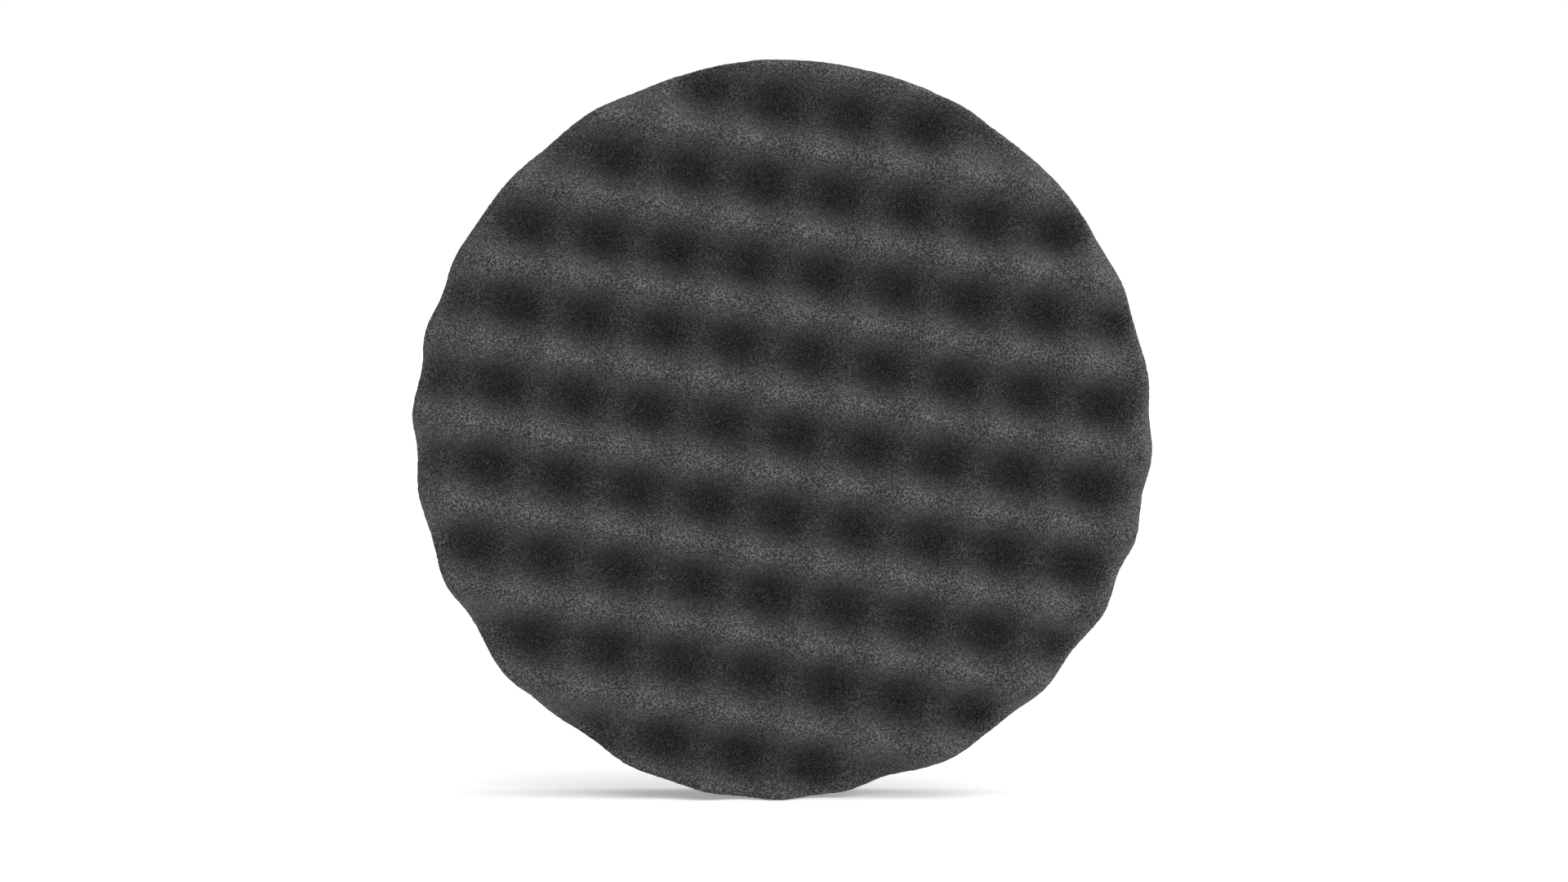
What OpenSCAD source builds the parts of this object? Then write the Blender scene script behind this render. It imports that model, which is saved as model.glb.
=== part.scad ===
// Convoluted foam polishing pad with a loop back, standing on its rim.
// The origin is the centre of the loop face. +Y points out of the back, towards the machine's
// backing plate, and the working face looks along -Y. Millimetres.

/* [Foam] */
// Diameter of the foam disc, measured between the wave crests of its rim
pad_d = 203.2; // [120:0.1:260]
// Thickness of the foam from its flat back to the tops of the bumps
foam_t = 32; // [26:0.5:50]
// Radius of the soft corner between the working face and the rim
face_corner_r = 2.5; // [1:0.1:5]
// Radius of the corner between the rim and the flat back
back_corner_r = 2; // [0.5:0.1:4]

/* [Convoluted face] */
// Distance between bumps along a row
row_pitch = 20.5; // [14:0.1:30]
// Distance between neighbouring rows
row_gap = 22.35; // [14:0.05:30]
// Height of the bumps above the bottoms of the dimples
relief = 16; // [4:0.5:20]
// Slope of the rows, falling towards +X
row_slope = 9.8; // [0:0.1:45]
// How strongly the surface waves along a row, as a share of the wave across the rows
row_share = 0.35; // [0.2:0.05:1]
// How far the bumps are sharpened and the dimples widened, or the other way round below 0
sharpening = -0.05; // [-0.2:0.05:0.2]
// Distance of a bump's top from the pad's axis along its row
bump_shift = -5.8; // [-15:0.1:15]
// Distance of that row from the pad's axis
row_shift = 10; // [-15:0.1:15]
// How far a row's bumps are swayed along the row, and the dimples beside it the other way
row_sway = -1.6; // [-4:0.1:4]

/* [Rim] */
// How far the rim swells outwards beside a bump and draws in beside a dimple
rim_wave = 0.6; // [0:0.1:2]
// How far the middle of the rim is drawn in where the foam was cut under pressure
rim_waist = 0.9; // [0:0.1:2]

/* [Loop backing] */
// Bare foam left round the loop fabric, on the flat of the back
fabric_inset = 4; // [0:0.1:20]
// Length of the raised loops
pile_h = 1.4; // [0.8:0.1:3]
// Thickness of the knitted ground under the loops
ground_t = 0.6; // [0.4:0.1:1.5]
// Thickness of the hot-melt film that holds the fabric to the foam
film_t = 0.3; // [0.2:0.05:1]
// How far the loops and the film stop short of the fabric's cut edge
edge_gap = 0.4; // [0:0.1:1]
// Diameter of the centring hole punched through the backing
hole_d = 22.2; // [12:0.1:40]

/* [Hidden] */
$fn = 128;

// Where each layer starts, as a depth below the loop face
ground_depth = pile_h;
film_depth = ground_depth + ground_t;
foam_depth = film_depth + film_t;

// The working face is a disc of triangles: ring k holds 6 * k points
face_rings = 30;
rim_points = 6 * face_rings;
// Points on each rounded corner and on the rim's side between them
corner_steps = 3;
side_steps = 4;

// Radius of the rim at its wave crests, and at its back corner, which stays round
face_r = pad_d / 2;
back_r = face_r - rim_wave;
fabric_d = 2 * (back_r - back_corner_r - fabric_inset);

// How far round its wave a place on the face is, in degrees, across the rows and along a row
function wave_rise(x, z) =
    let (across = x * sin(row_slope) + z * cos(row_slope) - row_shift)
    360 * across / row_gap;
function wave_turn(x, z) =
    let (
        along = x * cos(row_slope) - z * sin(row_slope) - bump_shift,
        sway = row_sway * cos(wave_rise(x, z))
    )
    360 * (along + sway) / row_pitch;
// Height of the convoluted surface, from 0 at a dimple's bottom to 1 on a bump's top.
// It is a wave along the rows plus a wave across them. Their product makes the bumps sharper
// than the dimples, or the dimples sharper where sharpening is below 0.
function bump_share(x, z) =
    let (u = cos(wave_turn(x, z)), v = cos(wave_rise(x, z)))
    (row_share * u + v + sharpening * u * v + row_share + 1 - sharpening)
        / (2 * (row_share + 1));
// Depth of the working face below the loop face
function face_depth(x, z) = foam_depth + foam_t - relief * (1 - bump_share(x, z));

// Radius of the rim at the face, in the direction a: it swells beside the bumps
function rim_r(a) = face_r - rim_wave * (1 - bump_share(face_r * cos(a), face_r * sin(a)));

// One point of the foam's skin, from polar coordinates and a depth below the loop face
function skin_point(r, a, depth) = [r * cos(a), -depth, r * sin(a)];

// Direction of point j of a ring that holds n points
function ring_a(j, n) = 360 * j / n;

// Inner part of the face, up to the start of its corner
function face_point(k, j) =
    let (
        a = ring_a(j, 6 * k),
        r = (rim_r(a) - face_corner_r) * k / face_rings
    )
    skin_point(r, a, face_depth(r * cos(a), r * sin(a)));

// The corner between face and rim, at step s of corner_steps
function shoulder_point(s, j) =
    let (
        a = ring_a(j, rim_points),
        turn = 90 * s / corner_steps,
        r = rim_r(a) - face_corner_r * (1 - sin(turn))
    )
    skin_point(r, a, face_depth(r * cos(a), r * sin(a)) - face_corner_r * (1 - cos(turn)));

// The rim's side, at share t of the way from its face corner to its back corner
function side_point(t, j) =
    let (
        a = ring_a(j, rim_points),
        top = face_depth(rim_r(a) * cos(a), rim_r(a) * sin(a)) - face_corner_r,
        foot = foam_depth + back_corner_r,
        r = rim_r(a) + (back_r - rim_r(a)) * t - rim_waist * sin(180 * t)
    )
    skin_point(r, a, top + (foot - top) * t);

// The corner between rim and back, at step s of corner_steps
function heel_point(s, j) =
    let (
        a = ring_a(j, rim_points),
        turn = 90 * s / corner_steps
    )
    skin_point(back_r - back_corner_r * (1 - cos(turn)), a,
        foam_depth + back_corner_r * (1 - sin(turn)));

// All rings of the skin after the face's own, from the shoulder round to the back
side_rings = concat(
    [for (s = [1:corner_steps]) [for (j = [0:rim_points - 1]) shoulder_point(s, j)]],
    [for (s = [1:side_steps]) [for (j = [0:rim_points - 1]) side_point(s / side_steps, j)]],
    [for (s = [1:corner_steps]) [for (j = [0:rim_points - 1]) heel_point(s, j)]]
);

// Index of point j on ring k of the face, counting round the ring
function face_index(k, j) = k == 0 ? 0 : 3 * k * (k - 1) + 1 + j % (6 * k);
face_points = 3 * face_rings * (face_rings + 1) + 1;
// Index of point j on ring i, where ring 0 is the edge of the face
function side_index(i, j) = i == 0
    ? face_index(face_rings, j % rim_points)
    : face_points + (i - 1) * rim_points + j % rim_points;

module foam_disc() {
    points = concat(
        [skin_point(0, 0, face_depth(0, 0))],
        [for (k = [1:face_rings]) for (j = [0:6 * k - 1]) face_point(k, j)],
        [for (ring = side_rings) for (p = ring) p]
    );
    // Between rings k - 1 and k of the face, each sixth of a turn is a strip of triangles
    outward = [for (k = [1:face_rings]) for (sixth = [0:5]) for (j = [0:k - 1])
        [face_index(k - 1, sixth * (k - 1) + j), face_index(k, sixth * k + j + 1),
            face_index(k, sixth * k + j)]];
    inward = [for (k = [2:face_rings]) for (sixth = [0:5]) for (j = [0:k - 2])
        [face_index(k - 1, sixth * (k - 1) + j), face_index(k - 1, sixth * (k - 1) + j + 1),
            face_index(k, sixth * k + j + 1)]];
    sides = [for (i = [0:len(side_rings) - 1]) for (j = [0:rim_points - 1]) each [
        [side_index(i, j), side_index(i, j + 1), side_index(i + 1, j)],
        [side_index(i, j + 1), side_index(i + 1, j + 1), side_index(i + 1, j)]]];
    back = [[for (j = [0:rim_points - 1]) side_index(len(side_rings), j)]];
    color("#3b3a38")
        polyhedron(points = points, faces = concat(outward, inward, sides, back));
}

// A flat ring of the backing, between two depths below the loop face
module backing_ring(d, depth, thickness) {
    rotate([90, 0, 0])
        translate([0, 0, depth])
            difference() {
                cylinder(d = d, h = thickness);
                translate([0, 0, -thickness])
                    cylinder(d = hole_d, h = 3 * thickness);
            }
}

module bond_film() {
    color("#b9b29a")
        backing_ring(fabric_d - 2 * edge_gap, film_depth, film_t);
}

module loop_ground() {
    color("#4a4b4d")
        backing_ring(fabric_d, ground_depth, ground_t);
}

module loop_pile() {
    color("#5a5b5e")
        backing_ring(fabric_d - 2 * edge_gap, 0, pile_h);
}

foam_disc();
bond_film();
loop_ground();
loop_pile();
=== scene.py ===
# %% [markdown]
# # A convoluted foam polishing pad
#
# The pad is a disc of black open-cell foam, about 203 mm across, with an egg-crate working face
# and a loop fabric glued to its back. It stands on its rim, so its axis runs along Y: the face
# looks towards -Y and the loops towards +Y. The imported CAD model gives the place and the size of
# every layer, and this lesson builds the surfaces that are worth looking at.

import itertools
import math

import bpy
import numpy as np
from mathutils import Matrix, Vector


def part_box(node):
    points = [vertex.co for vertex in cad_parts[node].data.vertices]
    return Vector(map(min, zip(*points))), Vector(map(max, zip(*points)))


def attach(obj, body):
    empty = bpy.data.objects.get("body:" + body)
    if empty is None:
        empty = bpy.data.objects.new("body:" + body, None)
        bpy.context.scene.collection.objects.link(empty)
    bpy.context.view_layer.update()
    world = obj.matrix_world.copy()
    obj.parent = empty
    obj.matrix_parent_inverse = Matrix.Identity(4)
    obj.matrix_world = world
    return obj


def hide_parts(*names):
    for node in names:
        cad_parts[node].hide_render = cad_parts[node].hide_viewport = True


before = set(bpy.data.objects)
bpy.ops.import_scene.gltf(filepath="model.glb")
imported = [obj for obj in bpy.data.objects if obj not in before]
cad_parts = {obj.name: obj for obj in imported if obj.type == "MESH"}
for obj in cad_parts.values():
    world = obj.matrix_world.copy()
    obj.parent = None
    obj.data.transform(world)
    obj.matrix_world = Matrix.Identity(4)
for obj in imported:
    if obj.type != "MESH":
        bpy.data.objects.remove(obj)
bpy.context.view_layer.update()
MM = 0.001

foam_low, foam_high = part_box("foam_disc")
film_low, film_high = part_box("bond_film")
ground_low, ground_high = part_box("loop_ground")
_, pile_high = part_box("loop_pile")
fabric_r = ground_high[0]
print("foam from y", round(foam_low[1] / MM, 2), "to", round(foam_high[1] / MM, 2), "mm")
print("fabric radius", round(fabric_r / MM, 2), "mm")

# %% [markdown]
# ## The camera
#
# A product camera looks at the face through a very long lens, which keeps the disc round and
# shows almost nothing of its side. A short lens close up would make the bumps at the rim bulge
# outwards. The camera stands nearly as high as the pad's top edge and tilts down to it. Its
# distance follows from the lens: what it sees is as many times wider than the film as the
# distance is longer than the lens.

# %% Camera
LENS = 150.0
FILM_WIDTH = 36.0
VIEW_WIDTH = 429.1 * MM
CAMERA_RISE = 96 * MM
AIM_X = 0.5 * MM
AIM_Z = -2.83 * MM
RIM_BEHIND_BUMPS = 3 * MM
rim_plane_y = foam_low[1] + RIM_BEHIND_BUMPS
distance = VIEW_WIDTH * LENS / FILM_WIDTH

camera_data = bpy.data.cameras.new("camera")
camera_data.lens = LENS
camera_data.sensor_width = FILM_WIDTH
camera = bpy.data.objects.new("camera", camera_data)
bpy.context.scene.collection.objects.link(camera)
camera.location = (AIM_X, rim_plane_y - distance, CAMERA_RISE)
camera.rotation_euler = (math.radians(90) - math.atan((CAMERA_RISE - AIM_Z) / distance), 0, 0)
bpy.context.scene.camera = camera
print("camera at", [round(x, 3) for x in camera.location])

# %% [markdown]
# ## Noise without a texture
#
# Foam is never quite even. Blender has noise textures, but a mesh made in numpy can ask for its
# own: a random number belongs to every corner of a cubic lattice, and a point takes a smooth
# mixture of the eight corners round it. The number comes from mixing the corner's three whole
# coordinates, so the result is the same on every run and runs on across every edge.

# %% Lattice noise
AXIS_PRIMES = (73856093, 19349663, 83492791)
SEED_PRIME = 2654435761
SCRAMBLES = ((15, 2246822519), (13, 3266489917))
LAST_SHIFT = 16
WORD = 0xFFFFFFFF
HALF_WORD = 0x7FFFFFFF


def lattice_noise(points, size, seed):
    """Smooth noise from -1 to 1 at each point, with features as big as size.

    Each lattice corner's value is a hash of its whole coordinates. The eight corners are mixed
    with the weights f and 1 - f along each axis, where f = 3t^2 - 2t^3 and t is the place
    between two corners.
    """
    place = points / size
    corner = np.floor(place).astype(np.int64)
    t = place - corner
    fade = t * t * (3 - 2 * t)
    total = np.zeros(len(points))
    for step in itertools.product((0, 1), repeat=3):
        key = corner + step
        mixed = np.bitwise_xor.reduce(key * np.array(AXIS_PRIMES), axis=1)
        mixed = (mixed ^ seed * SEED_PRIME) & WORD
        for shift, prime in SCRAMBLES:
            mixed = ((mixed ^ mixed >> shift) * prime) & WORD
        value = (mixed ^ mixed >> LAST_SHIFT) / HALF_WORD - 1
        total += value * np.where(step, fade, 1 - fade).prod(axis=1)
    return total


print("noise at the origin:", lattice_noise(np.zeros((1, 3)), 1.0, 1).round(3))

# %% [markdown]
# ## A skin of rings
#
# A disc with a rounded rim is best covered with rings of points, from the pole in the middle of
# the face, over the rim, to the pole in the middle of the back. A plain grid would crowd its
# points at the poles, so each ring gets about as many points as its length asks for. Two
# neighbouring rings are then sewn together like a zip: the middles of both rings' edges are taken
# in the order of their angles, and each edge makes a triangle with the point of the other ring
# that it has reached.

# %% Sew two rings together
def zip_rings(first, first_count, second, second_count):
    """Triangles between two rings whose points start at the indices first and second.

    Edge i of the first ring goes with point ceil((i + 1/2) m / n - 1/2) of the second, and edge j
    of the second with point floor((j + 1/2) n / m + 1/2) of the first, for n and m points.
    """
    n, m = first_count, second_count
    i, j = np.arange(n), np.arange(m)
    over = -((-(2 * i + 1) * m + n) // (2 * n))
    under = ((2 * j + 1) * n + m) // (2 * m)
    outer = np.stack([first + i, first + (i + 1) % n, second + over % m], axis=1)
    inner = np.stack([second + (j + 1) % m, second + j, first + under % n], axis=1)
    return np.concatenate([outer, inner])


def fan(pole, ring, count, flip):
    """Triangles from a pole to each edge of a ring."""
    i = np.arange(count)
    edge = [ring + (i + 1) % count, ring + i] if flip else [ring + i, ring + (i + 1) % count]
    return np.stack([np.full(count, pole), *edge], axis=1)


print("triangles between rings of 6 and 12 points:", len(zip_rings(0, 6, 6, 12)))


# %% Sew a closed skin
def sew(first_pole, rings, last_pole):
    """(points, triangles) of a closed skin: a pole, rings of any counts, and a pole."""
    counts = [len(ring) for ring in rings]
    starts = 1 + np.concatenate([[0], np.cumsum(counts)])
    last = int(starts[-1])
    parts = [fan(0, 1, counts[0], False)]
    for k in range(len(rings) - 1):
        parts.append(zip_rings(starts[k + 1], counts[k + 1], starts[k], counts[k]))
    parts.append(fan(last, int(starts[-2]), counts[-1], True))
    return np.concatenate([[first_pole], *rings, [last_pole]]), np.concatenate(parts)


def outward_normals(points, triangles):
    """Unit normal at each point: the sum of its triangles' cross products, made one long."""
    a, b, c = (points[triangles[:, k]] for k in range(3))
    cross = np.cross(b - a, c - a)
    total = np.zeros_like(points)
    for k, axis in itertools.product(range(3), range(3)):
        total[:, axis] += np.bincount(triangles[:, k], cross[:, axis], len(points))
    return total / np.linalg.norm(total, axis=1, keepdims=True)


small_skin = sew((0, 0, 0), [np.zeros((3, 3))] * 3, (0, 0, 1))
print("a skin of 3 rings of 3 points has", len(small_skin[1]), "triangles")


# %% Make a mesh
def make_mesh(name, points, triangles, material_slot, *nodes):
    """A smooth mesh object from arrays, which stands for the named CAD nodes."""
    mesh = bpy.data.meshes.new(name)
    mesh.vertices.add(len(points))
    mesh.vertices.foreach_set("co", points.astype(np.float32).ravel())
    mesh.loops.add(triangles.size)
    mesh.loops.foreach_set("vertex_index", triangles.astype(np.int32).ravel())
    mesh.polygons.add(len(triangles))
    mesh.polygons.foreach_set("loop_start", np.arange(0, triangles.size, 3, dtype=np.int32))
    mesh.polygons.foreach_set("use_smooth", np.ones(len(triangles), dtype=bool))
    mesh.update(calc_edges=True)
    mesh.validate()
    piece = bpy.data.objects.new(name, mesh)
    bpy.context.scene.collection.objects.link(piece)
    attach(piece, "root")
    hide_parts(*nodes)
    print(name, len(points), "points,", len(triangles), "triangles")
    return piece


# %% [markdown]
# ## The convoluted face
#
# Convoluted foam is made by squeezing a slab between two rollers with staggered pins while a
# blade splits it. The slab springs back with a bump wherever a pin was. The bumps lie on a slightly
# uneven rectangle, because the two directions are stretched differently, and their rows are
# turned by a few degrees on this disc. The height is a strong wave across the rows plus a weaker
# one along them. A small share of their product makes the dimples a little sharper than the
# bumps. The rollers also pushed the crests sideways, so each row of bumps is swayed one way along
# itself and each row of dimples the other way.

# %% The wave
ROW_PITCH = 20.5 * MM
ROW_GAP = 22.35 * MM
ROW_SLOPE = math.radians(9.8)
ROW_SHARE = 0.35
SHARPENING = -0.05
BUMP_SHIFT = -5.8 * MM
ROW_SHIFT = 10.0 * MM
SWAY = -1.6 * MM
RELIEF = 16 * MM

face_y = foam_low[1]
back_y = foam_high[1]


def bump_share(x, z):
    """Height of the waved surface, from 0 in a dimple to 1 on a bump.

    With u and v the cosines of the waves along and across the rows, s the share of u and c the
    sharpening, it is (s u + v + c u v + s + 1 - c) / (2 s + 2). Before u is taken, the place along
    the row moves by the sway times v.
    """
    along = x * math.cos(ROW_SLOPE) - z * math.sin(ROW_SLOPE) - BUMP_SHIFT
    across = x * math.sin(ROW_SLOPE) + z * math.cos(ROW_SLOPE) - ROW_SHIFT
    v = np.cos(2 * math.pi * across / ROW_GAP)
    u = np.cos(2 * math.pi * (along + SWAY * v) / ROW_PITCH)
    share = ROW_SHARE * u + v + SHARPENING * u * v + ROW_SHARE + 1 - SHARPENING
    return share / (2 * (ROW_SHARE + 1))


print("share at the centre:", round(float(bump_share(0.0, 0.0)), 3))

# %% [markdown]
# ## The foam disc
#
# The disc was punched out of the slab, so its rim follows the waves: where the foam was thick it
# was squeezed more under the press and sprang out further. The rim swells beside each bump and
# draws in beside each dimple. The edge of the face is a small soft corner, and the middle of the
# side is a little waisted.

# %% Outline of the rim
FACE_R = 101.6 * MM
RIM_WAVE = 0.6 * MM
RIM_WAIST = 0.9 * MM
FACE_CORNER = 2.5 * MM
BACK_CORNER = 2.0 * MM
back_r = FACE_R - RIM_WAVE


def rim_radius(angle):
    """Radius of the face's edge: the crest radius less the rim's wave times what a bump lacks."""
    lacking = 1 - bump_share(FACE_R * np.cos(angle), FACE_R * np.sin(angle))
    return FACE_R - RIM_WAVE * lacking


rim_at_right = float(rim_radius(np.zeros(1))[0])
print("rim radius at the right:", round(rim_at_right / MM, 2), "mm")


# %% Points on a ring
def turn(count):
    """Angles of a ring's points, evenly spaced from 0."""
    return 2 * math.pi * np.arange(count) / count


def on_ring(radius, angle, y):
    """Points at a radius and an angle about the pad's axis, and at a height along it."""
    y = np.broadcast_to(y, angle.shape)
    return np.stack([radius * np.cos(angle), y, radius * np.sin(angle)], axis=1)


def face_height(radius, angle):
    """Place of the face along Y: the bumps' tops less the relief times what a bump lacks."""
    return face_y + RELIEF * (1 - bump_share(radius * np.cos(angle), radius * np.sin(angle)))


SECTORS = 6


def ring_count(radius, step):
    """How many points make a ring's edges about a step long: a whole number in each sixth."""
    return SECTORS * round(2 * math.pi * radius / step / SECTORS)


print("points on a ring of 10 mm, 1 mm apart:", ring_count(10.0, 1.0))

# %% Rings of the face and the side
EDGE = 0.5 * MM
FACE_RINGS = round(FACE_R / EDGE)
rim_count = SECTORS * FACE_RINGS
rim_angle = turn(rim_count)
rim_r = rim_radius(rim_angle)


def corner_leans(corner):
    """Angles along a quarter circle with a corner's radius, about an edge apart, 0 left out."""
    return np.linspace(0, math.pi / 2, round(corner * math.pi / 2 / EDGE) + 1)[1:]


def face_rings():
    """Rings of the face: ring k of K has 6 k points, at k / K of the way to the corner."""
    for k in range(1, FACE_RINGS + 1):
        angle = turn(SECTORS * k)
        radius = (rim_radius(angle) - FACE_CORNER) * k / FACE_RINGS
        yield on_ring(radius, angle, face_height(radius, angle))


def shoulder_rings():
    """The corner between face and rim, a quarter circle laid against the waved face."""
    for lean in corner_leans(FACE_CORNER):
        radius = rim_r - FACE_CORNER * (1 - math.sin(lean))
        y = face_height(radius, rim_angle) + FACE_CORNER * (1 - math.cos(lean))
        yield on_ring(radius, rim_angle, y)


def side_rings():
    """The side: straight from corner to corner, less a half wave of sine for the waist."""
    top = face_height(rim_r, rim_angle) + FACE_CORNER
    foot = back_y - BACK_CORNER
    steps = round((foot - top.mean()) / EDGE)
    for t in np.arange(1, steps + 1) / steps:
        radius = rim_r + (back_r - rim_r) * t - RIM_WAIST * math.sin(math.pi * t)
        yield on_ring(radius, rim_angle, top + (foot - top) * t)


print("rim points:", rim_count)

# %% Rings of the back, and the whole skin
BARE_MARGIN = 8 * MM
SPOT_R = 14 * MM
HIDDEN_RINGS = 20
HIDDEN_THINNING = 3


def back_rings():
    """The back's corner, its bare margin, the hidden middle, and the spot inside the hole."""
    for lean in corner_leans(BACK_CORNER):
        radius = back_r - BACK_CORNER * (1 - math.cos(lean))
        yield on_ring(radius, rim_angle, back_y - BACK_CORNER * (1 - math.sin(lean)))
    flat_r = back_r - BACK_CORNER
    hidden_r = flat_r - BARE_MARGIN
    margin = np.arange(flat_r - EDGE, hidden_r, -EDGE)
    hidden = np.geomspace(hidden_r, SPOT_R, HIDDEN_RINGS)
    spot = np.arange(SPOT_R - EDGE, EDGE / 2, -EDGE)
    for radius in np.concatenate([margin, hidden, spot]):
        count = min(rim_count, ring_count(radius, EDGE))
        if SPOT_R <= radius <= hidden_r:
            count = SECTORS * round(count / (SECTORS * HIDDEN_THINNING))
        yield on_ring(radius, turn(max(count, SECTORS)), back_y)


rings = [*face_rings(), *shoulder_rings(), *side_rings(), *back_rings()]
front_pole = (0, float(face_height(np.zeros(1), np.zeros(1))[0]), 0)
foam_points, foam_triangles = sew(front_pole, rings, (0, back_y, 0))
print("foam rings:", len(rings))

# %% [markdown]
# ## Unevenness of the foam
#
# Three sizes of unevenness sit on the smooth waves. The slab sprang back unevenly, which shows as
# a slow swell. The blade wandered a little, which shows as shallow ripples. The cut cells leave
# a grit about as fine as the mesh. Each is noise that moves the points along their normals.

# %% Displace the foam
SWELL = 0.25 * MM
RIPPLE = 0.07 * MM
GRIT = 0.11 * MM
# Each noise: the size of its features, and its seed
SWELL_NOISE = (17 * MM, 3)
RIPPLE_NOISE = (3.5 * MM, 5)
COARSE_GRIT_NOISE = (1.1 * MM, 7)
FINE_GRIT_NOISE = (0.62 * MM, 9)
GRIT_SPREAD = 1.4
FLAT_WITHIN = 0.01 * MM
UNDER_FABRIC_SHARE = 0.5


def foam_unevenness(points):
    """Swell, ripple and grit added up, each noise times its own height."""
    swell = SWELL * lattice_noise(points, *SWELL_NOISE)
    ripple = RIPPLE * lattice_noise(points, *RIPPLE_NOISE)
    coarse = lattice_noise(points, *COARSE_GRIT_NOISE)
    fine = lattice_noise(points, *FINE_GRIT_NOISE)
    return swell + ripple + GRIT * (coarse + fine) / GRIT_SPREAD


under_fabric = foam_points[:, 1] > back_y - FLAT_WITHIN
height = foam_unevenness(foam_points)
height[under_fabric] = np.minimum(height[under_fabric], 0) * UNDER_FABRIC_SHARE
normals = outward_normals(foam_points, foam_triangles)
foam_points = foam_points + normals * height[:, None]
floor_z = foam_points[:, 2].min()
foam = make_mesh("foam", foam_points, foam_triangles, "foam", "foam_disc")

# %% [markdown]
# The shader paints shade into the foam's colour by how deep a point lies in its dimple, because
# light hardly reaches the pores down there. Every point stores that as an attribute called lift:
# 0 at a dimple's bottom and 1 on a bump. Round the rim it fades to the value of open, upright
# foam, which keeps a little of the painted shade.

# %% Lift
# Lift of the rim, side and back: there the colour keeps a little painted shade
OPEN_LIFT = 0.8
FADE = 3 * MM
from_axis = np.hypot(foam_points[:, 0], foam_points[:, 2])
on_face = np.clip((FACE_R - FACE_CORNER - from_axis) / FADE, 0, 1)
on_face[foam_points[:, 1] > back_y - BACK_CORNER] = 0
lift = np.clip(1 - (foam_points[:, 1] - face_y) / RELIEF, 0, 1)
lift = lift * on_face + OPEN_LIFT * (1 - on_face)
foam.data.attributes.new("lift", "FLOAT", "POINT").data.foreach_set("value", lift)
print("lift from", lift.min().round(2), "to", lift.max().round(2))

# %% [markdown]
# ## The hot-melt film
#
# The fabric is bonded to the foam by a film of hot-melt glue, pressed between them while hot. A
# little of it is squeezed out in front of the fabric's cut edge, where it sets as an uneven bead.
# It is built as a ring, closed all the way round its section: along the foam, over the bead, back
# under the fabric, and over a second bead at the centring hole.

# %% Closed rings
HOLE_R = 11.1 * MM


def sew_ring(rings):
    """(points, triangles) of a ring: each loop of points is zipped to the next, last to first."""
    counts = [len(ring) for ring in rings]
    starts = np.concatenate([[0], np.cumsum(counts)])
    parts = []
    for k in range(len(rings)):
        after = (k + 1) % len(rings)
        parts.append(zip_rings(starts[after], counts[after], starts[k], counts[k]))
    return np.concatenate(rings), np.concatenate(parts)


def wander(angle, radius, size, seed):
    """Noise from -1 to 1 along a circle, the same at both ends of the turn."""
    return lattice_noise(on_ring(radius, angle, 0.0), size, seed)


def uneven_edge(angle, radius, first_size, second_size, second_share, seed):
    """Wander of one size plus a share of wander of another, from seed and seed + 1."""
    first = wander(angle, radius, first_size, seed)
    return first + second_share * wander(angle, radius, second_size, seed + 1)


print("wander at three angles:", wander(turn(3), HOLE_R, MM, 1).round(2))

# %% Film
FABRIC_EDGE_R = 95 * MM
HOLE_EDGE_R = 11 * MM
FILM_REACH = 0.22 * MM
FILM_WANDER = 0.22 * MM
FILM_HOLE_REACH = 0.2 * MM
FILM_POINTS = 900
FLAT_STEPS = (0.25, 0.5, 0.75)
BEAD_RINGS = 7
# The sizes of an edge's first and second wander, and the second one's share
FABRIC_WANDER = (6 * MM, 1.5 * MM, 0.4)
HOLE_WANDER = (3 * MM, 1 * MM, 0.4)
film_angle = turn(FILM_POINTS)
film_mid = (film_low[1] + film_high[1]) / 2
film_half = (film_high[1] - film_low[1]) / 2
film_outer = fabric_r + FILM_REACH + FILM_WANDER * uneven_edge(
    film_angle, FABRIC_EDGE_R, *FABRIC_WANDER, seed=21)
film_inner = HOLE_R - FILM_HOLE_REACH + FILM_WANDER * uneven_edge(
    film_angle, HOLE_EDGE_R, *HOLE_WANDER, seed=23)


def film_rings():
    """Rings round the film's section: foam side outwards, outer bead, fabric side, inner bead."""
    for t in FLAT_STEPS:
        yield on_ring(film_inner + (film_outer - film_inner) * t, film_angle, film_low[1])
    for lean in np.linspace(-math.pi / 2, math.pi / 2, BEAD_RINGS):
        radius = film_outer - film_half * (1 - math.cos(lean))
        yield on_ring(radius, film_angle, film_mid + film_half * math.sin(lean))
    for t in FLAT_STEPS[::-1]:
        yield on_ring(film_inner + (film_outer - film_inner) * t, film_angle, film_high[1])
    for lean in np.linspace(math.pi / 2, -math.pi / 2, BEAD_RINGS):
        radius = film_inner + film_half * (1 - math.cos(lean))
        yield on_ring(radius, film_angle, film_mid + film_half * math.sin(lean))


film_points, film_triangles = sew_ring(list(film_rings()))
film = make_mesh("glue_film", film_points, film_triangles, "hot_melt", "bond_film")

# %% [markdown]
# ## The knitted ground
#
# The fabric is a warp knit. Its ground is a sheet 0.6 mm thick, and every stitch of it ties down
# one foot of a loop. A round die cuts the disc out, so the outer edge shows cut stitches: short
# teeth, with the ends of yarns standing out between them. The loop side carries the stitches as
# low ribs, which only need to be as fine as what shows between the loops. The film side is hidden,
# so it is flat and has few points.

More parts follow.
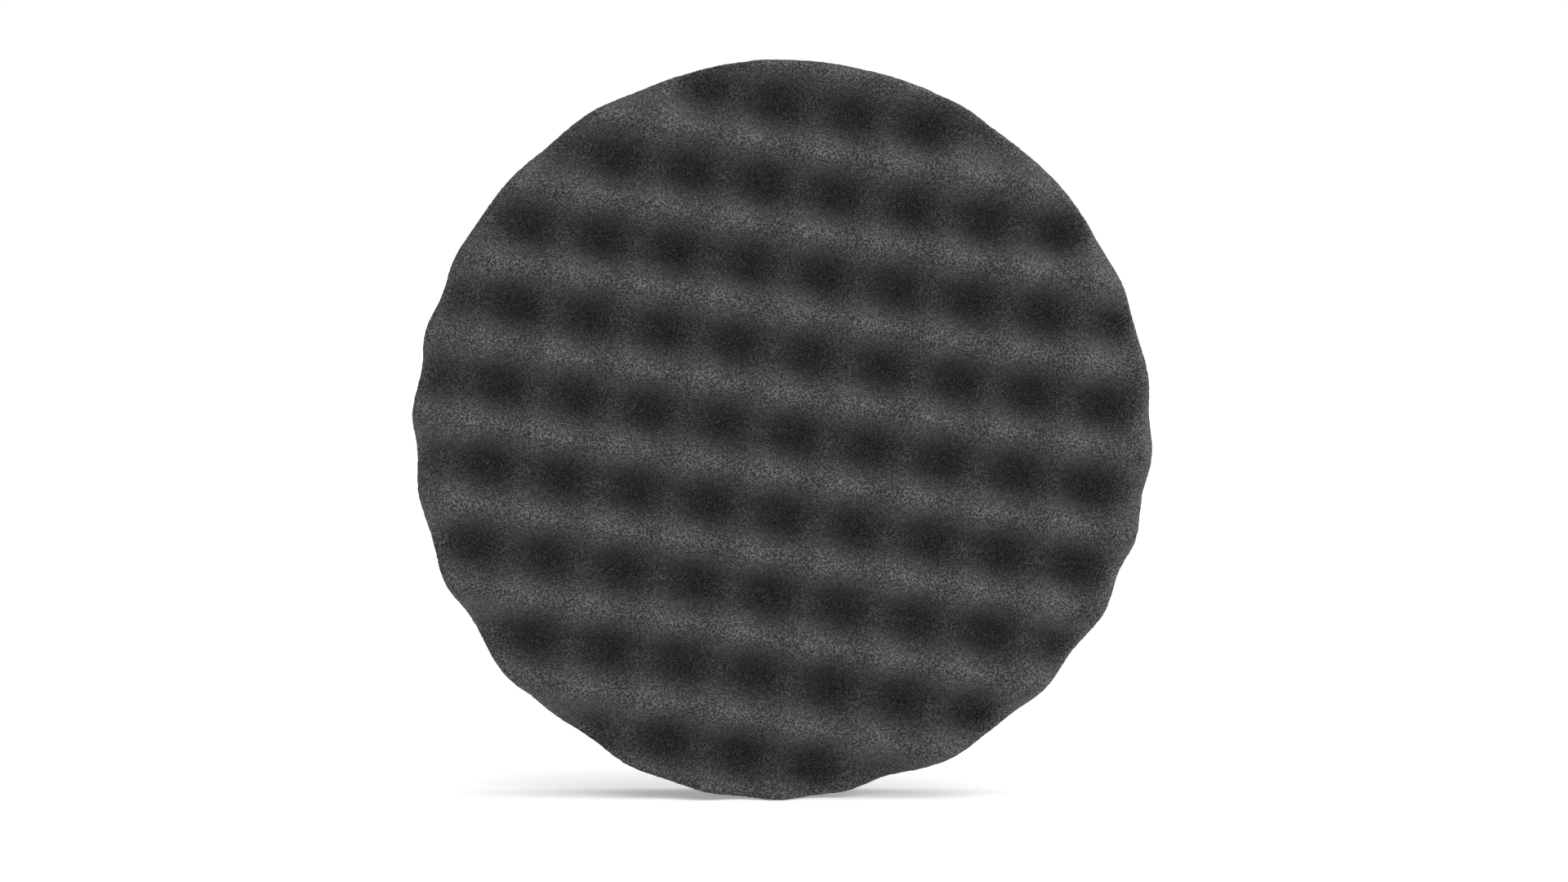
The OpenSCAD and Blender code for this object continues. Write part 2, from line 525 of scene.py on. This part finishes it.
# %% Ground
KNIT_WALE = 1.6 * MM
KNIT_RIB = 0.06 * MM
RIB_WANDER_SIZE = 6 * MM
EDGE_TEETH = 0.14 * MM
TOOTH_SIZE = 0.8 * MM
TOOTH_WANDER = (TOOTH_SIZE, 7 * MM, 0.6)
EDGE_STEPS = (0.0, 0.3, 0.7, 1.0)
HOLE_STEPS = (1.0, 0.5, 0.0)
EDGE_BULGE = 0.08 * MM
GROUND_STEP = 0.85 * MM
GROUND_POINTS = 1500
HOLE_THINNING = 6
FILM_SIDE_RINGS = np.geomspace(14 * MM, 92 * MM, 16)
LOOP_SIDE_RINGS = np.arange(94.3 * MM, 11.8 * MM, -GROUND_STEP)
ground_angle = turn(GROUND_POINTS)
teeth = EDGE_TEETH * uneven_edge(ground_angle, FABRIC_EDGE_R, *TOOTH_WANDER, seed=31)
ground_outer = fabric_r + teeth
ground_inner = HOLE_R + EDGE_TEETH / 2 * wander(
    ground_angle, HOLE_EDGE_R, TOOTH_SIZE, seed=33)
print("teeth up to", round(teeth.max() / MM, 2), "mm")


def ribs(points):
    """Height of the knit's ribs: a cosine across the wales, with a slow wander."""
    phase = 2 * math.pi * points[:, 0] / KNIT_WALE
    phase = phase + lattice_noise(points, RIB_WANDER_SIZE, seed=34)
    return KNIT_RIB * (np.cos(phase) - 1)


def ground_rings():
    """Rings round the ground's section: film side, outer edge, ribbed loop side, inner edge."""
    low, high = ground_low[1], ground_high[1]
    for radius in FILM_SIDE_RINGS:
        yield on_ring(radius, turn(ring_count(radius, 2 * GROUND_STEP)), low)
    for t in EDGE_STEPS:
        bulge = EDGE_BULGE * math.sin(math.pi * t)
        yield on_ring(ground_outer + bulge, ground_angle, low + (high - low) * t)
    for radius in LOOP_SIDE_RINGS:
        points = on_ring(radius, turn(ring_count(radius, GROUND_STEP)), high)
        points[:, 1] += ribs(points)
        yield points
    hole_angle = ground_angle[::HOLE_THINNING]
    hole_edge = ground_inner[::HOLE_THINNING]
    for t in HOLE_STEPS:
        yield on_ring(hole_edge, hole_angle, low + (high - low) * t)


ground_points, ground_triangles = sew_ring(list(ground_rings()))

# %% [markdown]
# ## Loops of yarn
#
# A loop is a short arch of yarn that leaves the ground, leans over and comes back. Thousands are
# needed, so each is only five points long with a three-sided section, and all of them are worked
# out at once as one array. Their feet are on a jittered grid, because a machine knits them in
# rows. Brushing has turned them every way, with a slight lean along the rows.

# %% Tubes of yarn
def yarn_tubes(spine, across, thickness):
    """Three-sided tubes along spines of points.

    spine is loops x points x 3, and across is a unit vector for each loop that stands square to
    its plane. The section's corners lie in the plane of across and tangent x across.
    """
    tangent = np.gradient(spine, axis=1)
    tangent /= np.linalg.norm(tangent, axis=2, keepdims=True)
    side = np.broadcast_to(across[:, None], spine.shape)
    side = side - tangent * (side * tangent).sum(axis=2, keepdims=True)
    side /= np.linalg.norm(side, axis=2, keepdims=True)
    third = np.cross(tangent, side)
    turn_of_three = turn(3)
    corners = (side[:, :, None] * np.cos(turn_of_three)[:, None]
               + third[:, :, None] * np.sin(turn_of_three)[:, None])
    points = spine[:, :, None] + thickness / 2 * corners
    loops, length = spine.shape[:2]
    triangles = []
    for k, j in itertools.product(range(length - 1), range(3)):
        a, b = 3 * k + j, 3 * k + (j + 1) % 3
        triangles += [(a, b, a + 3), (b, b + 3, a + 3)]
    end = 3 * (length - 1)
    triangles += [(0, 2, 1), (end, end + 1, end + 2)]
    starts = np.arange(loops) * 3 * length
    return points.reshape(-1, 3), (starts[:, None, None] + np.array(triangles)).reshape(-1, 3)


# %% Feet of the loops
LOOP_GRID = 0.97 * MM
GRID_STEPS = 98
FOOT_JITTER = 0.4
HOLE_CLEARANCE = 0.5 * MM
EDGE_CLEARANCE = 0.3 * MM
rng = np.random.default_rng(41)


def loop_feet():
    """Middles of the loops' feet: a square grid, jittered, inside the ring."""
    steps = np.arange(-GRID_STEPS, GRID_STEPS + 1) * LOOP_GRID
    x, z = (grid.ravel() for grid in np.meshgrid(steps, steps))
    x = x + rng.uniform(-FOOT_JITTER, FOOT_JITTER, x.size) * LOOP_GRID
    z = z + rng.uniform(-FOOT_JITTER, FOOT_JITTER, z.size) * LOOP_GRID
    radius = np.hypot(x, z)
    inside = (radius > HOLE_R + HOLE_CLEARANCE) & (radius < pile_high[0] - EDGE_CLEARANCE)
    return x[inside], z[inside]


feet_x, feet_z = loop_feet()
print("loops:", feet_x.size)

# %% Arches
# Widths, heights and leans are in millimetres, drawn at random for each loop
SPINE_POINTS = 5
LOOP_WIDTH = (0.5, 1.1)
LOOP_HEIGHT = (0.95, 1.32)
LEAN_SPREAD = 0.3
LEAN_ALL = (0.0, -0.25)
BULGE = 0.25
FOOT_SINK = 0.05 * MM


def arches(x, z):
    """Spines of the loops: half an ellipse each, wider at its top, leaning over.

    With t from 0 to 1 the way along is w (1 - cos(pi t)) / 2 - w / 2, made wider by a bulge of
    sin(2 pi t), and the height is h sin(pi t).
    """
    count = x.size
    t = np.linspace(0, 1, SPINE_POINTS)
    heading = rng.uniform(0, 2 * math.pi, count)
    width = rng.uniform(*LOOP_WIDTH, count) * MM
    height = rng.uniform(*LOOP_HEIGHT, count) * MM
    lean = rng.normal(0, LEAN_SPREAD, (count, 2)) * MM + np.array(LEAN_ALL) * MM
    along = np.stack([np.cos(heading), np.zeros(count), np.sin(heading)], axis=1)
    across = np.stack([-np.sin(heading), np.zeros(count), np.cos(heading)], axis=1)
    reach = -np.cos(math.pi * t)[None] * width[:, None] / 2
    reach -= BULGE * np.sin(2 * math.pi * t)[None] * width[:, None]
    rise = np.sin(math.pi * t)[None] * height[:, None]
    feet = np.stack([x, np.full(count, ground_high[1] - FOOT_SINK), z], axis=1)
    spine = feet[:, None] + along[:, None] * reach[:, :, None]
    spine[:, :, 1] += rise
    spine[:, :, 0] += lean[:, :1] * rise / height[:, None]
    spine[:, :, 2] += lean[:, 1:] * rise / height[:, None]
    return spine, across


# %% Pile
YARN = 0.2 * MM
PILE_PIECES = 4
order = np.argsort(np.arctan2(feet_z, feet_x))
pile = []
for number, chosen in enumerate(np.array_split(order, PILE_PIECES), 1):
    spine, across = arches(feet_x[chosen], feet_z[chosen])
    points, triangles = yarn_tubes(spine, across, YARN)
    pile.append(make_mesh(f"loops_{number}", points, triangles, "loop_yarn", "loop_pile"))

# %% [markdown]
# ## Cut ends
#
# Where the die cut through stitches, the yarns stick out of the ground's edge. They are the same
# little tubes, but each one starts inside the edge, points outwards and bends off to a side of
# its own. They belong to the ground, so they are joined to its mesh.

# %% Cut ends and the ground's mesh
CUT_ENDS = 700
CUT_YARN = 0.14 * MM
END_POINTS = 4
# The length's range is in millimetres, and the drift is a share of the length along X, Y and Z
END_LENGTH = (0.3, 1.1)
END_DRIFT = 0.35
DRIFT_SHARES = (1, 0.4, 1)
END_ROOT = 0.3 * MM
END_ABOVE_FILM = 0.15 * MM
END_BELOW_LOOPS = 0.1 * MM
end_angle = rng.uniform(0, 2 * math.pi, CUT_ENDS)
outwards = on_ring(1.0, end_angle, 0.0)
end_length = rng.uniform(*END_LENGTH, CUT_ENDS) * MM
drift = rng.normal(0, END_DRIFT, (CUT_ENDS, 3)) * DRIFT_SHARES
end_y = rng.uniform(ground_low[1] + END_ABOVE_FILM, ground_high[1] - END_BELOW_LOOPS, CUT_ENDS)
end_start = on_ring(fabric_r - END_ROOT, end_angle, end_y)
ahead = np.linspace(0, 1, END_POINTS)[None, :, None]
ends = (end_start[:, None] + outwards[:, None] * ahead * (end_length[:, None, None] + END_ROOT)
        + drift[:, None] * ahead ** 2 * end_length[:, None, None])
end_points, end_triangles = yarn_tubes(
    ends, np.broadcast_to([0.0, 1.0, 0.0], (CUT_ENDS, 3)), CUT_YARN)
ground = make_mesh(
    "knit_ground", np.concatenate([ground_points, end_points]),
    np.concatenate([ground_triangles, end_triangles + len(ground_points)]),
    "ground_knit", "loop_ground")

# %% [markdown]
# ## Speckle
#
# Foam, glue and yarn all share one effect: a fine speckle that is darker in the pits and lighter
# on the ridges. Its tone follows the same height as its bump, so it is partly painted shade in
# the pits and painted highlight on the ridges, and partly random tone from noise. It is a node
# group, so that every material can use it at its own size. Cells of a Voronoi texture stand for
# pores, and noise breaks up their evenness.

# %% Node helpers
def wire(tree, source, target):
    """Links an output socket to an input socket."""
    tree.links.new(source, target)


def add_node(tree, kind, **values):
    """A node of a kind, with properties or input defaults set by name."""
    node = tree.nodes.new(kind)
    for key, value in values.items():
        if hasattr(node, key):
            setattr(node, key, value)
        else:
            node.inputs[key.replace("_", " ")].default_value = value
    return node


def maths(tree, operation, first, second):
    """A Math node of two inputs, each a socket or a number."""
    node = tree.nodes.new("ShaderNodeMath")
    node.operation = operation
    for slot_index, value in enumerate((first, second)):
        if isinstance(value, (int, float)):
            node.inputs[slot_index].default_value = value
        else:
            wire(tree, value, node.inputs[slot_index])
    return node.outputs[0]


# %% The speckle group
NOISE_SCALE = 0.8
RIDGE_HEIGHT = 1.1
TONE_SHARE = 0.55


def speckle_group():
    """Pores and struts: outputs a tone from 0 to 1, which is painted shade in the pores and painted
    highlight on the struts plus random noise, and a height for bumps.
    """
    group = bpy.data.node_groups.new("speckle", "ShaderNodeTree")
    group.interface.new_socket("Vector", in_out="INPUT", socket_type="NodeSocketVector")
    group.interface.new_socket("Per Metre", in_out="INPUT", socket_type="NodeSocketFloat")
    group.interface.new_socket("Tone", in_out="OUTPUT", socket_type="NodeSocketFloat")
    group.interface.new_socket("Height", in_out="OUTPUT", socket_type="NodeSocketFloat")
    inside = group.nodes.new("NodeGroupInput")
    out = group.nodes.new("NodeGroupOutput")
    cells = add_node(group, "ShaderNodeTexVoronoi", feature="F1")
    noise = add_node(group, "ShaderNodeTexNoise", Detail=2.0, Roughness=0.6)
    wire(group, inside.outputs["Vector"], cells.inputs["Vector"])
    wire(group, inside.outputs["Vector"], noise.inputs["Vector"])
    wire(group, inside.outputs["Per Metre"], cells.inputs["Scale"])
    wire(group, maths(group, "MULTIPLY", inside.outputs["Per Metre"], NOISE_SCALE),
         noise.inputs["Scale"])
    ridge = maths(group, "MULTIPLY", cells.outputs["Distance"], RIDGE_HEIGHT)
    # The tone follows the ridge's height: painted shade in the pores, painted highlight on the
    # struts, plus random tone from the noise
    tone = maths(group, "ADD", maths(group, "MULTIPLY", ridge, TONE_SHARE),
                 maths(group, "MULTIPLY", noise.outputs[0], TONE_SHARE))
    wire(group, tone, out.inputs["Tone"])
    wire(group, ridge, out.inputs["Height"])
    return group


speckle = speckle_group()
speckle_outputs = [socket.name for socket in speckle.interface.items_tree
                   if socket.in_out == "OUTPUT"]
print("speckle outputs:", speckle_outputs)


# %% Starting a material
def new_material(name, base, roughness, per_metre):
    """(material, node tree, Principled shader, Object coordinates, speckle) to build on."""
    material = bpy.data.materials.new(name)
    material.use_nodes = True
    tree = material.node_tree
    shader = tree.nodes["Principled BSDF"]
    shader.inputs["Base Color"].default_value = (*base, 1)
    shader.inputs["Roughness"].default_value = roughness
    place = tree.nodes.new("ShaderNodeTexCoord").outputs["Object"]
    grain_and_pore_shade = tree.nodes.new("ShaderNodeGroup")
    grain_and_pore_shade.node_tree = speckle
    grain_and_pore_shade.inputs["Per Metre"].default_value = per_metre
    wire(tree, place, grain_and_pore_shade.inputs["Vector"])
    return material, tree, shader, place, grain_and_pore_shade


def colour_ramp(tree, factor, *stops):
    """Colour that follows a factor through stops of (place, colour)."""
    node = tree.nodes.new("ShaderNodeValToRGB")
    ramp = node.color_ramp
    while len(ramp.elements) < len(stops):
        ramp.elements.new(1)
    for element, (place, colour) in zip(ramp.elements, stops):
        element.position = place
        element.color = (*colour, 1)
    wire(tree, factor, node.inputs["Fac"])
    return node.outputs["Color"]


def raise_by(tree, height, distance, strength=1.0):
    """A Bump node's normal for a height that is worth a distance in metres."""
    bump = add_node(tree, "ShaderNodeBump", Strength=strength, Distance=distance)
    wire(tree, height, bump.inputs["Height"])
    return bump.outputs["Normal"]


# %% [markdown]
# ## Black foam
#
# Carbon black makes the foam nearly black and slightly warm. Each pore is a dark pit and each
# strut between pores catches light, and the tone paints both: painted shade in the pores and
# painted highlight on the struts swing it far about its mean within half a millimetre. The lift
# attribute then dims and warms the tone towards the dimples, as painted shade. A ramp between
# two tints was chosen over darker light, because the struts on the bumps must stay bright.

# %% Foam material
FOAM_BASE = (0.05, 0.048, 0.045)
FOAM_ROUGHNESS = 0.85
# Painted shade: the colour at a dimple's bottom, dimmer and warmer than on a bump
PIT_PAINTED_SHADE = (0.5, 0.456, 0.41)
CREST_TINT = (1.0, 0.958, 0.939)
# Painted shade in the pores and painted highlight on the struts, about the foam's own tone
PORE_PAINTED_SHADE = 0.003
FOAM_TONE = 0.0297
STRUT_PAINTED_HIGHLIGHT = 0.113
TONE_STOPS = (0.41, 0.55, 0.72)
FOAM_SPECULAR = 0.5
PORE_SIZE = 0.5 * MM
PORE_DEPTH = 0.25 * MM


def foam_material():
    """Tone by pore and strut, as painted shade and highlight, times a painted shade by lift."""
    material, tree, shader, _, grain_and_pore_shade = new_material(
        "black_foam", FOAM_BASE, FOAM_ROUGHNESS, 1 / PORE_SIZE)
    tones = [[tone] * 3 for tone in (PORE_PAINTED_SHADE, FOAM_TONE, STRUT_PAINTED_HIGHLIGHT)]
    tone = colour_ramp(tree, grain_and_pore_shade.outputs["Tone"], *zip(TONE_STOPS, tones))
    # Painted shade: the lift attribute dims and warms the colour towards the dimples
    depth = add_node(tree, "ShaderNodeAttribute", attribute_name="lift")
    tint = colour_ramp(tree, depth.outputs["Fac"], (0.0, PIT_PAINTED_SHADE), (1.0, CREST_TINT))
    mixed = add_node(tree, "ShaderNodeVectorMath", operation="MULTIPLY")
    wire(tree, tone, mixed.inputs[0])
    wire(tree, tint, mixed.inputs[1])
    wire(tree, mixed.outputs["Vector"], shader.inputs["Base Color"])
    wire(tree, raise_by(tree, grain_and_pore_shade.outputs["Height"], PORE_DEPTH), shader.inputs["Normal"])
    shader.inputs["Specular IOR Level"].default_value = FOAM_SPECULAR
    return material


foam.data.materials.append(foam_material())
print("foam wears", foam.data.materials[0].name)

# %% [markdown]
# ## Glue, knit and yarn
#
# The glue is honey-coloured and satin, a little cloudy where it has soaked into the foam. The
# ground is black nylon, whose stitches are too fine for the mesh, so two sine waves across each
# other raise them as a bump. The loops are the same nylon brushed loose, which looks softer and
# lighter: sheen gives the pale edge that fibres show at a slant, and slow patches show where the
# brush has laid them differently.

# %% Glue
GLUE_BASE = (0.5, 0.42, 0.26)
GLUE_ROUGHNESS = 0.38
GLUE_COLOURS = ((0.25, (0.3, 0.23, 0.12)), (0.8, (0.62, 0.55, 0.38)))
GLUE_CLOUD = 1.1 * MM
GLUE_BUMP = 0.1 * MM
GLUE_COAT = 0.3


def glue_material():
    """Cloudy honey-coloured glue."""
    material, tree, shader, _, grain_and_pore_shade = new_material(
        "hot_melt_glue", GLUE_BASE, GLUE_ROUGHNESS, 1 / GLUE_CLOUD)
    colour = colour_ramp(tree, grain_and_pore_shade.outputs["Tone"], *GLUE_COLOURS)
    wire(tree, colour, shader.inputs["Base Color"])
    wire(tree, raise_by(tree, grain_and_pore_shade.outputs["Height"], GLUE_BUMP), shader.inputs["Normal"])
    shader.inputs["Coat Weight"].default_value = GLUE_COAT
    return material


film.data.materials.append(glue_material())
print("film wears", film.data.materials[0].name)


# %% Knit
KNIT_BASE = (0.03, 0.03, 0.033)
KNIT_ROUGHNESS = 0.7
KNIT_COLOURS = ((0.3, (0.012, 0.012, 0.013)), (0.8, (0.055, 0.055, 0.06)))
KNIT_SPECK = 0.5 * MM
KNIT_COURSE = 0.9 * MM
STITCH_HEIGHT = 0.15 * MM


def knit_material():
    """Black nylon with stitches raised by the product of two waves."""
    material, tree, shader, place, grain_and_pore_shade = new_material(
        "black_knit", KNIT_BASE, KNIT_ROUGHNESS, 1 / KNIT_SPECK)
    colour = colour_ramp(tree, grain_and_pore_shade.outputs["Tone"], *KNIT_COLOURS)
    wire(tree, colour, shader.inputs["Base Color"])
    parts = tree.nodes.new("ShaderNodeSeparateXYZ")
    wire(tree, place, parts.inputs[0])
    waves = []
    for axis, pitch in (("X", KNIT_WALE), ("Z", KNIT_COURSE)):
        angle = maths(tree, "MULTIPLY", parts.outputs[axis], 2 * math.pi / pitch)
        waves.append(maths(tree, "SINE", angle, 0.0))
    stitch = maths(tree, "MULTIPLY", waves[0], waves[1])
    wire(tree, raise_by(tree, stitch, STITCH_HEIGHT), shader.inputs["Normal"])
    return material


ground.data.materials.append(knit_material())
print("ground wears", ground.data.materials[0].name)


# %% Yarn
YARN_BASE = (0.06, 0.06, 0.064)
YARN_ROUGHNESS = 0.55
YARN_COLOURS = ((0.3, (0.022, 0.022, 0.024)), (0.8, (0.1, 0.1, 0.107)))
YARN_SPECK = 0.9 * MM
LAY_COLOURS = ((0.35, (0.75, 0.75, 0.75)), (0.65, (1.2, 1.2, 1.2)))
LAY_PER_METRE = 45.0
YARN_SHEEN = 0.35
YARN_SHEEN_ROUGHNESS = 0.4


def yarn_material():
    """Charcoal nylon: a tone by the loop and slow patches where the pile lies differently."""
    material, tree, shader, place, grain_and_pore_shade = new_material(
        "loop_nylon", YARN_BASE, YARN_ROUGHNESS, 1 / YARN_SPECK)
    loop_tone = colour_ramp(tree, grain_and_pore_shade.outputs["Tone"], *YARN_COLOURS)
    patches = add_node(tree, "ShaderNodeTexNoise",
                       Scale=LAY_PER_METRE, Detail=3.0, Roughness=0.55)
    wire(tree, place, patches.inputs["Vector"])
    lay = colour_ramp(tree, patches.outputs[0], *LAY_COLOURS)
    mixed = add_node(tree, "ShaderNodeVectorMath", operation="MULTIPLY")
    wire(tree, loop_tone, mixed.inputs[0])
    wire(tree, lay, mixed.inputs[1])
    wire(tree, mixed.outputs["Vector"], shader.inputs["Base Color"])
    shader.inputs["Sheen Weight"].default_value = YARN_SHEEN
    shader.inputs["Sheen Roughness"].default_value = YARN_SHEEN_ROUGHNESS
    return material


loop_nylon = yarn_material()
for piece in pile:
    piece.data.materials.append(loop_nylon)
print(len(pile), "pieces of pile wear", loop_nylon.name)

# %% [markdown]
# ## The studio
#
# A white sweep surrounds the pad. Its floor is a real surface, which catches the soft shadow under
# the rim, and it glows a little, as paper does when light comes from all round. The walls are
# only light: the world is white to the camera. To the pad it is a dome with a large light above
# and in front, another on the right, and a lit wall behind. It is dark round the camera, so the
# dimples, which can see little else, stay dark.

# %% Floor
FLOOR_GLOW = 0.32
FLOOR_BASE = (0.9, 0.9, 0.9)
FLOOR_ROUGHNESS = 0.9
FLOOR_COLOURS = ((0.0, (0.78, 0.78, 0.78)), (1.0, (0.82, 0.82, 0.82)))
MOTTLE_PER_METRE = 30
FLOOR_SIZE = 12.0


def floor_material():
    """Matt white paper with a faint mottle."""
    material, tree, shader, _, grain_and_pore_shade = new_material(
        "white_floor", FLOOR_BASE, FLOOR_ROUGHNESS, MOTTLE_PER_METRE)
    colour = colour_ramp(tree, grain_and_pore_shade.outputs["Tone"], *FLOOR_COLOURS)
    wire(tree, colour, shader.inputs["Base Color"])
    shader.inputs["Emission Color"].default_value = (1, 1, 1, 1)
    shader.inputs["Emission Strength"].default_value = FLOOR_GLOW
    return material


floor_mesh = bpy.data.meshes.new("floor")
half = FLOOR_SIZE / 2
floor_mesh.from_pydata(
    [(-half, -half, floor_z), (half, -half, floor_z), (half, half, floor_z),
     (-half, half, floor_z)], [], [(0, 1, 2, 3)])
floor = bpy.data.objects.new("floor", floor_mesh)
bpy.context.scene.collection.objects.link(floor)
floor.data.materials.append(floor_material())
print("floor at z", round(floor_z / MM, 2), "mm")

# %% World
# Each light: the direction it is seen in, the cosines where it starts and is full, its strength
LIGHTS = (
    ((0.2, -0.45, 0.88), 0.45, 1.0, 2.65),
    ((1.0, -0.1, 0.1), 0.4, 1.0, 2.3),
    ((0.0, 1.0, 0.0), -0.5, 0.1, 0.44),
)


def studio_world():
    """Radiance is a sum: each light's strength times a smooth step of direction . towards."""
    world = bpy.data.worlds.new("studio")
    world.use_nodes = True
    tree = world.node_tree
    tree.nodes.clear()
    direction = tree.nodes.new("ShaderNodeTexCoord").outputs["Generated"]
    parts = []
    for towards, start, end, light in LIGHTS:
        dot = add_node(tree, "ShaderNodeVectorMath", operation="DOT_PRODUCT")
        wire(tree, direction, dot.inputs[0])
        dot.inputs[1].default_value = towards
        rise = add_node(tree, "ShaderNodeMapRange", interpolation_type="SMOOTHSTEP",
                        From_Min=start, From_Max=end, To_Max=light)
        wire(tree, dot.outputs["Value"], rise.inputs["Value"])
        parts.append(rise.outputs["Result"])
    strength = parts.pop()
    for part in reversed(parts):
        strength = maths(tree, "ADD", part, strength)
    dome = tree.nodes.new("ShaderNodeBackground")
    wire(tree, strength, dome.inputs["Strength"])
    seen = add_node(tree, "ShaderNodeBackground", Color=(1, 1, 1, 1), Strength=1.0)
    mix = tree.nodes.new("ShaderNodeMixShader")
    wire(tree, tree.nodes.new("ShaderNodeLightPath").outputs["Is Camera Ray"], mix.inputs[0])
    wire(tree, dome.outputs[0], mix.inputs[1])
    wire(tree, seen.outputs[0], mix.inputs[2])
    out = tree.nodes.new("ShaderNodeOutputWorld")
    wire(tree, mix.outputs[0], out.inputs["Surface"])
    return world


bpy.context.scene.world = studio_world()
bpy.context.scene.view_settings.view_transform = "Standard"
print("lights in the world:", len(LIGHTS))
